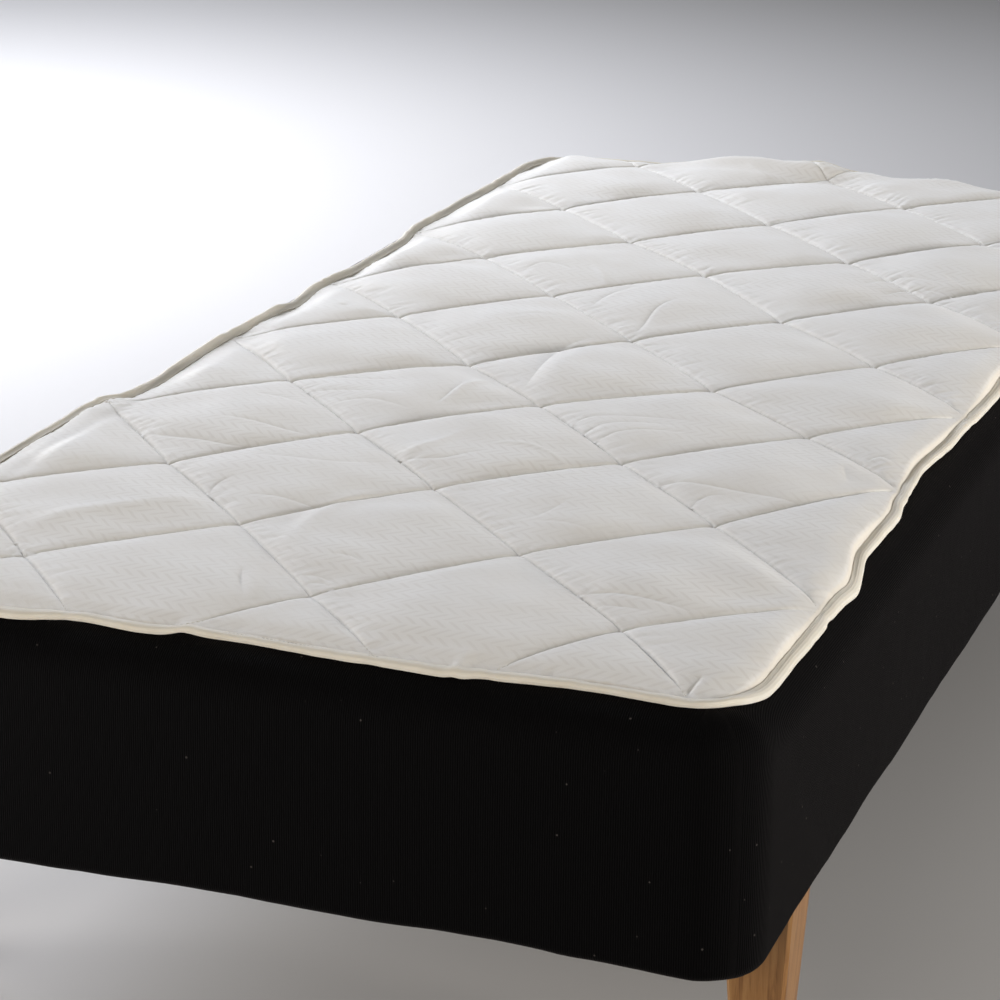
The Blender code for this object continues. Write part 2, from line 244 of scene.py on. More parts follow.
# Lumps of the filling: longest and shortest wave, and reach, in millimetres.
LUMPS = ((170, 90, 0.9), (70, 45, 0.12))
LUMP_WAVES = 16

# Least and most of a pucker: beside a channel as shares of its side's length and depth,
# widths and the rim's in millimetres.
PUCKER_LENGTHS = (0.45, 1.35)
PUCKER_DEPTHS = (0.15, 1.0)
PUCKER_WIDTHS = (2.6, 4.4)
RIM_PUCKER_LENGTHS = (8, 24)
RIM_PUCKER_DEPTHS = (0.1, 1.0)
RIM_PUCKER_WIDTHS = (2.2, 3.6)
RIM_PUCKER_REACH = 60 * MM

# A pucker points partly square to its seam and partly to the pillow's middle, with some
# scatter. It is at its deepest over its first quarter, and cut off at some half widths.
PUCKER_SQUARE = 0.8
PUCKER_INWARD = 0.4
PUCKER_SCATTER = 0.22
RIM_PUCKER_SCATTER = 0.25
PUCKER_FULL = 0.25
PUCKER_CUT = 2.6

# How relief fades towards the channels and the tape. Then a crease's reach and sides, in
# half widths, and how its ends taper.
CREASE_FADE = 5 * MM
LUMP_FADE = 30 * MM
PUCKER_FADE = 3 * MM
CREASE_REACH = 5
STEEP_SIDE = 0.6
GENTLE_SIDE = 1.15
CREASE_TAPER = 0.7

# Where the grid's lines lie between two channels: close beside each, then even.
BESIDE_CHANNEL = (0.0, 0.0040, 0.0105, 0.0205, 0.0330)
GRID_LINES = 70
RIM_STEP = 3.5 * MM
RIM_RINGS = (0.8 * MM, 2.2 * MM, 4.2 * MM, 6.8 * MM)
GRID_START = 8.5 * MM
CORNER_STEPS = 34
CORNER_FULLNESS = 0.88
BESIDE_CREASE = (-3.0 * MM, -1.2 * MM, 0.0, 1.2 * MM, 3.0 * MM)
CREASE_STEP = 3 * MM
CREASE_CLEARING = 4.2 * MM

# How far the cloth reaches across and along, and its middle, which lies deep inside it,
# in metres.
CLOTH_REACH = (0.45, 1.01)
MIDDLE_REACH = (0.33, 0.90)
MIDDLE_DEPTH = 0.2


def smooth(t):
    """Ease from 0 to 1 as t goes from 0 to 1."""
    t = np.clip(t, 0.0, 1.0)
    return t * t * (3 - 2 * t)


def read_table(table, at, column):
    """Read one column of a table at many places, easing from row to row."""
    rows = np.array(table)
    start = np.clip(np.searchsorted(rows[:, 0], at) - 1, 0, len(rows) - 2)
    share = smooth((at - rows[start, 0]) / (rows[start + 1, 0] - rows[start, 0]))
    return rows[start, column] + (rows[start + 1, column] - rows[start, column]) * share


def along_bed(y, at_foot, further_up, start, run):
    """A share that eases along the bed, from its value at the foot to the one further up."""
    return at_foot + (further_up - at_foot) * smooth((y - start) / run)


def slow_wave(x, y, wave):
    """A slow unevenness between -1 and 1 over the whole topper."""
    pace_x, phase_x, pace_y, phase_y = wave
    return np.sin(pace_x * x + phase_x) * np.sin(pace_y * y + phase_y)


def unit(ways):
    """Many directions, each given a length of one."""
    return ways / np.linalg.norm(ways, axis=1)[:, None]


def line_runs(line):
    """How far along a line each of its points lies."""
    return np.concatenate(([0.0], np.cumsum(np.linalg.norm(np.diff(line, axis=0), axis=1))))


def points_at(at, runs, line):
    """Points of a line at given runs along it."""
    return np.column_stack([np.interp(at, runs, column) for column in line.T])


def wander(along, waves):
    """Smooth uneven values along a closed line, as (length, reach, seed) waves in a sum."""
    total = 0
    for length, reach, seed in waves:
        knots = max(3, round(float(np.max(along)) / length))
        values = np.random.default_rng(seed).uniform(-reach, reach, knots)
        at = along / float(np.max(along)) * (knots - 1e-6)
        start = np.floor(at).astype(int)
        share = smooth(at - start)
        total = total + values[start % knots] * (1 - share) + values[(start + 1) % knots] * share
    return total


# ---------------------------------------------------------------- outline and heights

def bed_inset(x, y):
    """Distance in from the bed's outline, seen from above."""
    side = BED_WIDTH / 2 - BED_CORNER_RADIUS - np.abs(x)
    end = BED_LENGTH / 2 - BED_CORNER_RADIUS - np.abs(y)
    beyond = np.hypot(np.minimum(side, 0), np.minimum(end, 0))
    return BED_CORNER_RADIUS - beyond + np.maximum(np.minimum(side, end), 0)


def cloth_base(x, y):
    """Lowest height that the topper keeps over the bed: clear of its rounded edges."""
    inset = bed_inset(x, y)
    into_edge = np.clip(BED_TOP_RADIUS - inset, 0, BED_TOP_RADIUS)
    surface = BED_TOP - BED_TOP_RADIUS + np.sqrt(BED_TOP_RADIUS ** 2 - into_edge ** 2)
    nearness = smooth((BED_TOP_RADIUS + CLEARANCE_RUN - inset) / CLEARANCE_RUN)
    return surface + FLAT_CLEARANCE + (EDGE_CLEARANCE - FLAT_CLEARANCE) * nearness


def edge_lift(x, y):
    """How far the topper is buckled, curled and kinked up at its edges."""
    hump = read_table(HEAD_HUMPS, x, 1) * smooth((y - HUMP_START) / HUMP_RUN)
    curl = read_table(LEFT_CURLS, y, 1) * smooth((-x - CURL_START) / CURL_RUN)
    kink = sum(lift * np.exp(-((x - across) / width) ** 2) for across, lift, width in FOOT_KINKS)
    return hump + curl + kink * smooth((-y - KINK_START) / KINK_RUN)


def rounded_stations(half_x, half_y, corner_steps, spacing):
    """Places round a rounded rectangle, anticlockwise: centre x, centre y and angle of each.

    The halves are those of the rectangle that its corners' centres span.
    """
    stations = []
    for quarter, (sx, sy) in enumerate(((1, -1), (1, 1), (-1, 1), (-1, -1))):
        for step in range(corner_steps + 1):
            angle = math.radians(-90 + 90 * (quarter + step / corner_steps))
            stations.append((sx * half_x, sy * half_y, angle))
        run = 2 * (half_x if quarter % 2 else half_y)
        steps = round(run / spacing)
        for step in range(1, steps):
            ahead = run * step / steps
            stations.append((sx * half_x - math.sin(angle) * ahead,
                             sy * half_y + math.cos(angle) * ahead, angle))
    return np.array(stations).T


def topper_outline():
    """Points round the topper's edge, anticlockwise."""
    x, y, angle = rounded_stations(HALF_WIDTH - CORNER_ACROSS, HALF_LENGTH - CORNER_ALONG,
                                   CORNER_STEPS, RIM_STEP)
    out_x, out_y = np.cos(angle), np.sin(angle)
    x += CORNER_ACROSS * np.sign(out_x) * np.abs(out_x) ** CORNER_FULLNESS
    y += CORNER_ALONG * np.sign(out_y) * np.abs(out_y) ** CORNER_FULLNESS
    side = np.where(x > 0, read_table(SIDE_EDGES, y, 2), read_table(SIDE_EDGES, y, 1))
    end = np.where(y > 0, read_table(END_EDGES, x, 2), read_table(END_EDGES, x, 1))
    return np.column_stack((x * side / HALF_WIDTH, y * end / HALF_LENGTH))


def outline_normals(points):
    """Unit vectors that point out of a closed outline."""
    ahead = np.roll(points, -1, axis=0) - np.roll(points, 1, axis=0)
    return unit(np.column_stack((ahead[:, 1], -ahead[:, 0])))


def nearest_on(line, places):
    """Distance of each place from a line, the number of its nearest piece, and where on it."""
    nearest = np.full(len(places), np.inf)
    piece = np.zeros(len(places), int)
    share = np.zeros(len(places))
    for number, (start, end) in enumerate(zip(line, line[1:])):
        edge = end - start
        offset = places - start
        part = np.clip(offset @ edge / (edge @ edge), 0, 1)
        distance = np.hypot(*(offset - part[:, None] * edge).T)
        closer = distance < nearest
        nearest[closer], piece[closer], share[closer] = distance[closer], number, part[closer]
    return nearest, piece, share


def depth_inside(places, outline):
    """Distance of many places in from a closed outline; below zero outside it."""
    nearest, corner, _ = nearest_on(np.vstack((outline, outline[:1])), places)
    outward = np.sum((places - outline[corner]) * outline_normals(outline)[corner], axis=1)
    return np.where(outward < 0, nearest, -nearest)


def shoulder(distance, width):
    """A quarter round: 0 at no distance, 1 from the width on."""
    return np.sqrt(1 - (1 - np.clip(distance / width, 0, 1)) ** 2)


def flatness(x, y):
    """How far a place belongs to the left or the foot edge, where the pad runs out flat."""
    return np.maximum(smooth((-x - FLAT_LEFT_START) / FLAT_LEFT_RUN),
                      smooth((-y - FLAT_FOOT_START) / FLAT_FOOT_RUN))


def tape_lip(x, y):
    """How far in from the outline the tape's inner edge lies."""
    return TAPE_WIDTH * (1 + FLAT_TAPE_SPREAD * flatness(x, y))


def from_channels(rising, falling):
    """Distances from the nearest channel of each family."""
    return [np.abs(count - np.round(count)) * CELL_SIDE for count in (rising, falling)]


def channel_floor(x, y, depth, from_rising, from_falling):
    """Height of a channel's bottom over the cloth's base, drawn down where it is sewn."""
    rim = FLANGE_TOP + BESIDE_TAPE_RISE * smooth((depth - tape_lip(x, y)) / BESIDE_TAPE_RUN)
    inward = smooth((depth - TAPE_WIDTH) / CHANNEL_RUN)
    at_crossing = np.exp(-(from_rising ** 2 + from_falling ** 2) / CROSSING_REACH ** 2)
    at_stitches = np.exp(-np.minimum(from_rising, from_falling) / STITCH_REACH)
    drawn = CROSSING_DIMPLE * at_crossing + STITCH_GROOVE * at_stitches
    return rim + (CHANNEL_HEIGHT - rim - drawn) * inward


def pillow_height(x, y, depth, rising, falling):
    """Height of the quilted top over the cloth's base."""
    from_rising, from_falling = from_channels(rising, falling)
    flank = shoulder(from_rising, FLANK_WIDTH) * shoulder(from_falling, FLANK_WIDTH)
    broad = np.abs(np.sin(np.pi * rising) * np.sin(np.pi * falling)) ** CROWN_POWER
    share = along_bed(y, *FLANK_SHARES) + FLANK_UNEVENNESS * slow_wave(x, y, FLANK_WAVE)
    swell = share * flank + (1 - share) * broad
    flat = flatness(x, y)
    from_groove = depth - tape_lip(x, y) - EDGE_GROOVE
    rounded = shoulder(from_groove, EDGE_ROLL)
    rounded += (smooth(from_groove / FLAT_EDGE_ROLL) ** FLAT_ROLL_POWER - rounded) * flat
    thin = THIN_EDGE + (FLAT_THIN_EDGE - THIN_EDGE) * flat
    rounded *= thin + (1 - thin) * smooth((depth - TAPE_WIDTH) / THIN_EDGE_RUN)
    plump = np.random.default_rng(21).uniform(*PLUMP, (PLUMP_CELLS, PLUMP_CELLS))
    cell = [np.floor(count).astype(int) % PLUMP_CELLS for count in (rising, falling)]
    uneven = plump[tuple(cell)] + CROWN_UNEVENNESS * slow_wave(x, y, CROWN_WAVE)
    crown = CROWN * along_bed(y, *CROWN_SHARES)
    floor = channel_floor(x, y, depth, from_rising, from_falling)
    return floor + crown * swell * rounded * uneven


def crossing_pulls():
    """The pulls of the crossings, as a grid over the two channel families."""
    pulls = np.zeros((PULL_GRID, PULL_GRID, 2))
    for across, towards_foot, pull_x, pull_y in PULLED_CROSSINGS:
        rising = (across + towards_foot) // 2 + PULL_GRID // 2
        falling = (across - towards_foot) // 2 + PULL_GRID // 2
        pulls[rising, falling] = pull_x * MM, pull_y * MM
    return pulls


def quilt_place(rising, falling, pulls):
    """Where a count of channels in the two slanting families lies, seen from above."""
    across = rising + falling
    towards_foot = rising - falling
    stretched = 1 + (towards_foot - 1) * FOOT_ROW_STRETCH
    towards_foot = np.where(towards_foot > 1, stretched, towards_foot)
    place = np.column_stack((FIRST_CROSSING_X + across * DIAMOND_WIDTH / 2,
                             FIRST_CROSSING_Y - towards_foot * DIAMOND_LENGTH / 2))
    middle = len(pulls) // 2
    cell_r = np.floor(rising).astype(int)
    cell_f = np.floor(falling).astype(int)
    share_r = (rising - cell_r)[:, None]
    share_f = (falling - cell_f)[:, None]
    cell_r += middle
    cell_f += middle
    near = pulls[cell_r, cell_f] * (1 - share_f) + pulls[cell_r, cell_f + 1] * share_f
    far = pulls[cell_r + 1, cell_f] * (1 - share_f) + pulls[cell_r + 1, cell_f + 1] * share_f
    return place + near * (1 - share_r) + far * share_r


def quilt_count(places, pulls):
    """Count of channels crossed at many places: quilt_place the other way round."""
    unpulled = places.copy()
    for _ in range(4):
        across = (unpulled[:, 0] - FIRST_CROSSING_X) / (DIAMOND_WIDTH / 2)
        towards_foot = (FIRST_CROSSING_Y - unpulled[:, 1]) / (DIAMOND_LENGTH / 2)
        shrunk = 1 + (towards_foot - 1) / FOOT_ROW_STRETCH
        towards_foot = np.where(towards_foot > 1, shrunk, towards_foot)
        rising = (across + towards_foot) / 2
        falling = (across - towards_foot) / 2
        unpulled += places - quilt_place(rising, falling, pulls)
    return rising, falling


# ---------------------------------------------------------------- meshes

def new_piece(name, corners, faces, finish):
    """Make a mesh object, turn its faces outwards, and let it ride on the bed."""
    mesh = bpy.data.meshes.new(name)
    mesh.from_pydata([tuple(corner) for corner in corners], [], faces)
    build = bmesh.new()
    build.from_mesh(mesh)
    bmesh.ops.recalc_face_normals(build, faces=build.faces[:])
    build.to_mesh(mesh)
    build.free()
    mesh.shade_smooth()
    mesh.materials.append(finish)
    piece = bpy.data.objects.new(name, mesh)
    bpy.context.scene.collection.objects.link(piece)
    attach(piece, "root")
    return piece


def add_values(piece, name, kind, field, values):
    """Give a piece a value at each corner, for its material to read."""
    attribute = piece.data.attributes.new(name, kind, "POINT")
    attribute.data.foreach_set(field, np.float32(values).ravel())


def ring_faces(count, starts):
    """Quads between closed rings that follow each other, by the number of each one's start."""
    return [(a + i, a + (i + 1) % count, b + (i + 1) % count, b + i)
            for a, b in zip(starts, starts[1:]) for i in range(count)]


def edge_ring(outline, normals, inset, height, lifted=True):
    """One line of the edge's section, carried all the way round."""
    places = outline - normals * np.reshape(inset, (-1, 1))
    level = cloth_base(places[:, 0], places[:, 1]) + height
    if lifted:
        level += edge_lift(places[:, 0], places[:, 1])
    return np.column_stack((places, level))


def grid_lines():
    """Places of the grid's lines between one channel and the next, as shares of the way."""
    even = np.linspace(BESIDE_CHANNEL[-1], 1 - BESIDE_CHANNEL[-1], GRID_LINES - 6)
    return np.concatenate((BESIDE_CHANNEL[:-1], even, 1 - np.array(BESIDE_CHANNEL[-2:0:-1])))


def crease_lines():
    """The creases as (lift, half width, line), in metres, with more points on each line."""
    return [(rise * MM, width * MM, eased_line(points) * MM) for rise, width, *points in CREASES]


def beside_line(places, line, reach):
    """Which places lie near a line, how far to its left, and how far along as a share."""
    low, high = line.min(axis=0) - reach, line.max(axis=0) + reach
    near = np.nonzero(np.all((places > low) & (places < high), axis=1))[0]
    distance, piece, share = nearest_on(line, places[near])
    edge = np.diff(line, axis=0)[piece].T
    offset = (places[near] - line[piece]).T
    side = np.sign(edge[0] * offset[1] - edge[1] * offset[0])
    return near, distance * side, (piece + share) / (len(line) - 1)


def crease_rows(lines):
    """Corners along and close beside every sharp crease."""
    rows = []
    for line in lines:
        runs = line_runs(line)
        at = np.linspace(0, runs[-1], round(runs[-1] / CREASE_STEP) + 1)
        middle = points_at(at, runs, line)
        ahead = np.gradient(middle, axis=0)
        square = unit(np.column_stack((-ahead[:, 1], ahead[:, 0])))
        rows += [middle + square * offset for offset in BESIDE_CREASE]
    return np.concatenate(rows)


def near_cloth(grid):
    """The (rising, falling, x, y) rows that lie in the cloth or just beside it."""
    return grid[np.all(np.abs(grid[:, 2:]) < CLOTH_REACH, axis=1)]


def cover_grid(outline, normals, pulls, creases):
    """The quilted top as (rising, falling, x, y) rows, their depth, and its triangles.

    The rim's ring comes first, then the rings inside it, then the even grid, and last the
    corners at the sharp creases, which take the grid's place there.
    """
    lines = (np.arange(-CHANNELS, CHANNELS)[:, None] + grid_lines()).ravel()
    rising, falling = (side.ravel() for side in np.meshgrid(lines, lines, indexing="ij"))
    grid = near_cloth(np.column_stack((rising, falling, quilt_place(rising, falling, pulls))))
    sharp = [line for rise, _, line in creases if rise < 0]
    clear = np.ones(len(grid), bool)
    for line in sharp:
        near, aside, _ = beside_line(grid[:, 2:], line, CREASE_CLEARING)
        clear[near] &= np.abs(aside) > CREASE_CLEARING
    rows = crease_rows(sharp)
    grid = np.vstack((grid[clear], np.column_stack((*quilt_count(rows, pulls), rows))))
    depth = np.full(len(grid), MIDDLE_DEPTH)
    outer = np.any(np.abs(grid[:, 2:]) > MIDDLE_REACH, axis=1)
    depth[outer] = depth_inside(grid[outer, 2:], outline)
    inside = depth > TAPE_WIDTH + GRID_START

    insets = TAPE_WIDTH + np.array((0, *RIM_RINGS))
    rings = np.concatenate([outline - normals * inset for inset in insets])
    ring_grid = np.column_stack((*quilt_count(rings, pulls), rings))
    grid = np.vstack((ring_grid, grid[inside]))
    depth = np.concatenate((np.repeat(insets, len(outline)), depth[inside]))
    count = len(outline)
    border = [(i, (i + 1) % count) for i in range(count)]
    flat = [Vector(place) for place in grid[:, 2:]]
    _, _, triangles, _, _, _ = delaunay_2d_cdt(flat, border, [], 1, 1e-7)
    return grid, depth, [tuple(triangle) for triangle in triangles]


def eased_line(points):
    """More points along a line, in a smooth curve through the given ones."""
    points = np.array(points, float)
    padded = np.vstack((2 * points[0] - points[1], points, 2 * points[-1] - points[-2]))
    t = np.linspace(0, 1, 7)[:-1, None]
    parts = []
    for before, start, end, after in zip(padded, padded[1:], padded[2:], padded[3:]):
        parts.append(0.5 * (2 * start + (end - before) * t
                            + (2 * before - 5 * start + 4 * end - after) * t ** 2
                            + (3 * start - before - 3 * end + after) * t ** 3))
    return np.vstack((*parts, points[-1:]))


def press_creases(places, creases):
    """Lift of the cloth at its listed creases: sharp troughs and rounded ridges."""
    lift = np.zeros(len(places))
    for rise, width, line in creases:
        near, aside, along = beside_line(places, line, CREASE_REACH * width)
        far_side = np.sign(aside) * np.sign(line[-1, 0] - line[0, 0]) > 0
        taper = np.sin(np.pi * along) ** CREASE_TAPER
        if rise > 0:
            shape = np.exp(-(aside / width) ** 2)
        else:
            reach = np.where(far_side, GENTLE_SIDE * width, STEEP_SIDE * width)
            shape = np.exp(-np.abs(aside) / reach)
        lift[near] += rise * taper * shape
    return lift


def press_puckers(x, y, starts, aims, dice, lengths, widths, depths):
    """Lift of some corners at short puckers, each soon deep and then fading along its way.

    Lengths, widths and depths are given as the least and the most, in millimetres.
    """
    spans = [dice.uniform(*span, len(starts)) * MM for span in (lengths, widths, depths)]
    lift = np.zeros(len(x))
    for start, aim, length, width, sink in zip(starts, unit(aims), *spans):
        ox, oy = x - start[0], y - start[1]
        along = ox * aim[0] + oy * aim[1]
        across = (oy * aim[0] - ox * aim[1]) / width
        near = (np.abs(across) < PUCKER_CUT) & (along > 0) & (along < length)
        share = along[near] / length
        fading = 1 - smooth((share - PUCKER_FULL) / (1 - PUCKER_FULL))
        taper = smooth(along[near] / PUCKER_FADE) * fading
        lift[near] -= sink * taper * np.exp(-across[near] ** 2)
    return lift


def press_seam_puckers(x, y, rising, falling, pulls):
    """Lift of the cloth at the puckers beside the quilting's channels, cell by cell."""
    dice = np.random.default_rng(8)
    lift = np.zeros(len(x))
    cells = np.floor(np.column_stack((rising, falling))).astype(int)
    cells, member = np.unique(cells, axis=0, return_inverse=True)
    member = member.ravel()
    groups = np.split(np.argsort(member, kind="stable"), np.cumsum(np.bincount(member))[:-1])
    for (row, column), group in zip(cells, groups):
        middle = quilt_place(np.array([row + 0.5]), np.array([column + 0.5]), pulls)[0]
        for start, end, spacing, length, depth in PUCKERED_SIDES:
            count = round(CELL_SIDE / (spacing * MM))
            share = (np.arange(count) + dice.uniform(0.1, 0.9, count)) / count
            side = np.array(start) * (1 - share[:, None]) + np.array(end) * share[:, None]
            starts = quilt_place(row + side[:, 0], column + side[:, 1], pulls)
            seam = starts[-1] - starts[0]
            square = np.array((-seam[1], seam[0])) / np.hypot(*seam)
            square *= np.sign(square @ (middle - starts[0]))
            aims = square * PUCKER_SQUARE + unit(middle - starts) * PUCKER_INWARD
            aims += dice.normal(0, PUCKER_SCATTER, (count, 2))
            lift[group] += press_puckers(
                x[group], y[group], starts, aims, dice, np.multiply(PUCKER_LENGTHS, length),
                PUCKER_WIDTHS, np.multiply(PUCKER_DEPTHS, depth))
    return lift


def press_rim_puckers(x, y, depth, outline, normals):
    """Lift of the cloth at the gathers where the tape is sewn on."""
    dice = np.random.default_rng(9)
    picks = np.arange(0, len(outline), 2) + dice.integers(0, 2, len(outline[::2]))
    picks = picks[picks < len(outline)]
    starts = outline[picks] - normals[picks] * TAPE_WIDTH
    aims = dice.normal(0, RIM_PUCKER_SCATTER, (len(picks), 2)) - normals[picks]
    lift = np.zeros(len(x))
    group = depth < RIM_PUCKER_REACH
    lift[group] = press_puckers(x[group], y[group], starts, aims, dice, RIM_PUCKER_LENGTHS,
                                RIM_PUCKER_WIDTHS, RIM_PUCKER_DEPTHS)
    return lift


def filling_lumps(x, y):
    """Soft unevenness of the filling, from hand-sized lumps down to finger-sized ones."""
    dice = np.random.default_rng(12)
    lift = np.zeros(len(x))
    for longest, shortest, reach in LUMPS:
        for _ in range(LUMP_WAVES):
            way = dice.uniform(0, 2 * math.pi)
            pace = 2 * math.pi / (dice.uniform(shortest, longest) * MM)
            phase = dice.uniform(0, 2 * math.pi)
            wave = np.sin((x * math.cos(way) + y * math.sin(way)) * pace + phase)
            lift += wave * reach * MM / math.sqrt(LUMP_WAVES / 2)
    return lift


def make_topper_cover(outline, normals, pulls, finish):
    """The filled pad: quilted top, thin edge inside the tape, and flat underside."""
    creases = crease_lines()
    grid, depth, faces = cover_grid(outline, normals, pulls, creases)
    rising, falling, x, y = grid.T
    height = pillow_height(x, y, depth, rising, falling)
    height += cloth_base(x, y) + edge_lift(x, y)
    from_seam = np.minimum(*from_channels(rising, falling))
    free = smooth((depth - TAPE_WIDTH) / CREASE_FADE)
    height += press_creases(grid[:, 2:], creases) * smooth(from_seam / CREASE_FADE) * free
    height += filling_lumps(x, y) * smooth(from_seam / LUMP_FADE) * free
    puckers = press_seam_puckers(x, y, rising, falling, pulls) * along_bed(y, *GATHER_SHARES)
    height += puckers * smooth(from_seam / PUCKER_FADE) * free
    height += press_rim_puckers(x, y, depth, outline, normals)

    corners = np.concatenate((
        np.column_stack((x, y, height)),
        edge_ring(outline, normals, FLANGE_INSET, FLANGE_TOP),
        edge_ring(outline, normals, FLANGE_INSET, FLANGE_BOTTOM),
        edge_ring(outline, normals, TAPE_WIDTH, FLANGE_BOTTOM),
        edge_ring(outline, normals, UNDERSIDE_STEP_INSET, 0),
        edge_ring(outline, normals, UNDERSIDE_INSET, 0, lifted=False),
    ))
    count = len(outline)
    starts = [0, *range(len(grid), len(corners), count)]
    faces += ring_faces(count, starts)
    faces.append(tuple(range(starts[-1], len(corners))))
    cover = new_piece("topper_cover", corners, faces, finish)
    quilt = np.zeros((len(corners), 3))
    quilt[:len(grid)] = np.column_stack((rising, falling, depth))
    add_values(cover, "quilt", "FLOAT_VECTOR", "vector", quilt)
    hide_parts("topper_pad")


# ---------------------------------------------------------------- the tape

TAPE_RIB = 2.2 * MM
TAPE_RIB_RELIEF = 0.28 * MM
TAPE_STITCH_INSET = 7.0 * MM
TAPE_STITCH_DIP = 0.35 * MM
TAPE_STITCH_WIDTH = 1.0 * MM
TAPE_ROUND = 2.9 * MM
TAPE_FULLNESS = 0.85
TAPE_SLOPE = 1.5
TAPE_GRIP = 0.2 * MM
TAPE_PINCH = 0.13
TAPE_PINCH_PULL = 1.1 * MM
TAPE_PINCH_REACH = 5 * MM
TAPE_OUTER_RISE = 1.6
LEFT_TAPE_SWELL = 0.45
FACING_START = 0.6
FACING_RUN = 0.3

# The tape's unevenness along its length: length, reach and seed of each wave.
TAPE_SWAYS = ((45 * MM, 0.5 * MM, 3), (16 * MM, 0.25 * MM, 4))
TAPE_SWELLS = ((60 * MM, 0.06, 5), (12 * MM, 0.05, 6))


def tape_section():
    """The tape's ribbed section as (inset, height) rows, from below round to above."""
    half = TAPE_HEIGHT / 2
    rows = [(inset, 0.0, (0.0, -1.0)) for inset in np.linspace(TAPE_WIDTH, TAPE_ROUND, 4)]
    for angle in np.linspace(-math.pi / 2, math.pi / 2, 27)[1:-1]:
        out, up = math.cos(angle), math.sin(angle)
        level = half * (1 + math.copysign(abs(up) ** TAPE_FULLNESS, up))
        rows.append((TAPE_ROUND * (1 - out ** TAPE_FULLNESS), level, (-out, up)))
    for inset in np.linspace(TAPE_ROUND, TAPE_WIDTH, 14):
        share = (inset - TAPE_ROUND) / (TAPE_WIDTH - TAPE_ROUND)
        from_stitch = (inset - TAPE_STITCH_INSET) / TAPE_STITCH_WIDTH
        dip = TAPE_STITCH_DIP * math.exp(-from_stitch ** 2)
        level = TAPE_HEIGHT + (TAPE_INNER_HEIGHT - TAPE_HEIGHT) * share ** TAPE_SLOPE - dip
        rows.append((inset, level, (0.0, 1.0)))
    section = []
    run = 0.0
    for number, (inset, height, outward) in enumerate(rows):
        if number:
            run += math.hypot(inset - rows[number - 1][0], height - rows[number - 1][1])
        rib = TAPE_RIB_RELIEF * abs(math.sin(math.pi * run / TAPE_RIB))
        section.append((inset + outward[0] * rib, height + outward[1] * (rib - TAPE_RIB_RELIEF)))
    grip = FLANGE_TOP + TAPE_GRIP
    section += [(TAPE_WIDTH, grip), (TAPE_THICKNESS, grip),
                (TAPE_THICKNESS, TAPE_THICKNESS), (TAPE_WIDTH, TAPE_THICKNESS)]
    return section


def facing(part):
    """How far an edge faces a side, from its normal's part towards that side."""
    return smooth((part - FACING_START) / FACING_RUN)


def tape_spread(normals):
    """How much wider the tape lies at the left and the foot, where the pad is flat."""
    return 1 + FLAT_TAPE_SPREAD * facing(np.maximum(-normals[:, 0], -normals[:, 1]))


def make_edge_tape(outline, normals, pulls, finish):
    """The tape folded round the pad's edge, puckered, and pinched where channels end."""
    count = len(outline)
    along = line_runs(np.vstack((outline, outline[:1])))[:-1]
    to_channel = np.minimum(*from_channels(*quilt_count(outline - normals * TAPE_WIDTH, pulls)))
    pinch = np.exp(-(to_channel / TAPE_PINCH_REACH) ** 2)
    sway = wander(along, TAPE_SWAYS) - TAPE_PINCH_PULL * pinch
    swell = 1 + wander(along, TAPE_SWELLS) - TAPE_PINCH * pinch
    left_swell = LEFT_TAPE_SWELL * facing(-normals[:, 0])
    spread = tape_spread(normals)
    rings = []
    for inset, height in tape_section():
        outer = smooth((1 - inset / TAPE_WIDTH) * TAPE_OUTER_RISE)
        rings.append(edge_ring(outline, normals, inset * spread - sway * outer,
                               height * (swell + left_swell * outer)))
    corners = np.concatenate(rings)
    faces = ring_faces(count, [*range(0, len(corners), count), 0])
    tape = new_piece("edge_tape", corners, faces, finish)
    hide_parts("edge_binding")


# ---------------------------------------------------------------- the bed's cover

COVER_STEP = 14 * MM
COVER_CORNER_STEPS = 14
HEM_RADIUS = 12 * MM
HEM_SAG = 6 * MM
HEM_SAG_REACH = 160 * MM
RIB_BEND = 26 * MM

# The cover's unevenness round the bed: length, reach and seed of each wave.
HEM_WAVES = ((90 * MM, 1.6 * MM, 11), (30 * MM, 0.7 * MM, 12))
BILLOWS = ((260 * MM, 1.5 * MM, 13),)


def cover_profile():
    """The cover's section from hem to top as (inset, height, length down from the top)."""
    rows = []
    for angle in np.linspace(0, math.pi / 2, 7):
        rows.append((HEM_RADIUS * (1 - math.sin(angle)),
                     LEG_HEIGHT + HEM_RADIUS * (1 - math.cos(angle))))
    wall_top = BED_TOP - BED_TOP_RADIUS
    for height in np.linspace(LEG_HEIGHT + HEM_RADIUS, wall_top, 14)[1:-1]:
        rows.append((0.0, height))
    for angle in np.linspace(0, math.pi / 2, 16):
        rows.append((BED_TOP_RADIUS * (1 - math.cos(angle)),
                     wall_top + BED_TOP_RADIUS * math.sin(angle)))
    down = [0.0]
    for upper, lower in zip(rows[::-1], rows[-2::-1]):
        down.append(down[-1] + math.hypot(upper[0] - lower[0], upper[1] - lower[1]))
    return [(*row, length) for row, length in zip(rows, down[::-1])]


